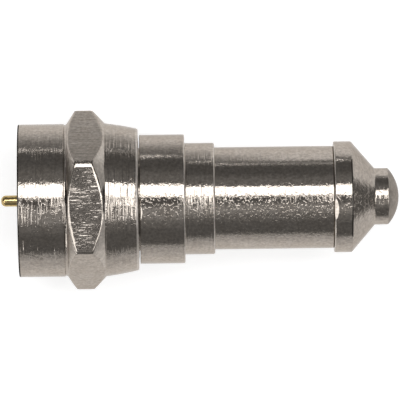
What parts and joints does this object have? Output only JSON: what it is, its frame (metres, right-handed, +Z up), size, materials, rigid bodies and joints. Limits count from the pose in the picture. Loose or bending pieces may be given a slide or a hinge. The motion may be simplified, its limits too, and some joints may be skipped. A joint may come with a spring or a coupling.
{
  "type": "coaxial terminator",
  "caption": "Coaxial terminator: swivelling hexagon coupling nut round a projecting contact pin, stepped plated body, long plain barrel, and a coned end cap with a domed nub.",
  "frame": {"origin": "on the common axis, at the ground post's front face, where a mated port stops", "axes": "+X along the axis from the port side to the nub, +Z up, square to the hexagon flat opposite the one that the part lies on"},
  "size_m": [0.0279, 0.0126, 0.011],
  "materials": {
    "nut_plating": "satin",
    "post_plating": "satin",
    "body_plating": "satin",
    "barrel_plating": "satin",
    "cap_plating": "satin",
    "pin_gold": "polished",
    "bead_plastic": "matte",
    "seal_rubber": "matte",
    "resistor_ceramic": "matte",
    "resistor_steel": "satin",
    "resistor_lacquer": "gloss",
    "lead_tin": "satin",
    "solder": "satin"
  },
  "bodies": {
    "terminator": {"ground_post": "post_plating", "body": "body_plating", "seal_ring": "seal_rubber", "barrel": "barrel_plating", "end_cap": "cap_plating", "centre_pin": "pin_gold", "front_bead": "bead_plastic", "rear_bead": "bead_plastic", "resistor_core": "resistor_ceramic", "resistor_cup_front": "resistor_steel", "resistor_cup_rear": "resistor_steel", "resistor_coat": "resistor_lacquer", "lead_front": "lead_tin", "lead_rear": "lead_tin", "solder_front": "solder", "solder_rear": "solder"},
    "nut": {"coupling_nut": "nut_plating"}
  },
  "joints": [
    {"name": "nut_spin", "type": "hinge", "parent": "terminator", "child": "nut", "pos_m": [0, 0, 0], "axis": [1, 0, 0], "continuous": true}
  ]
}
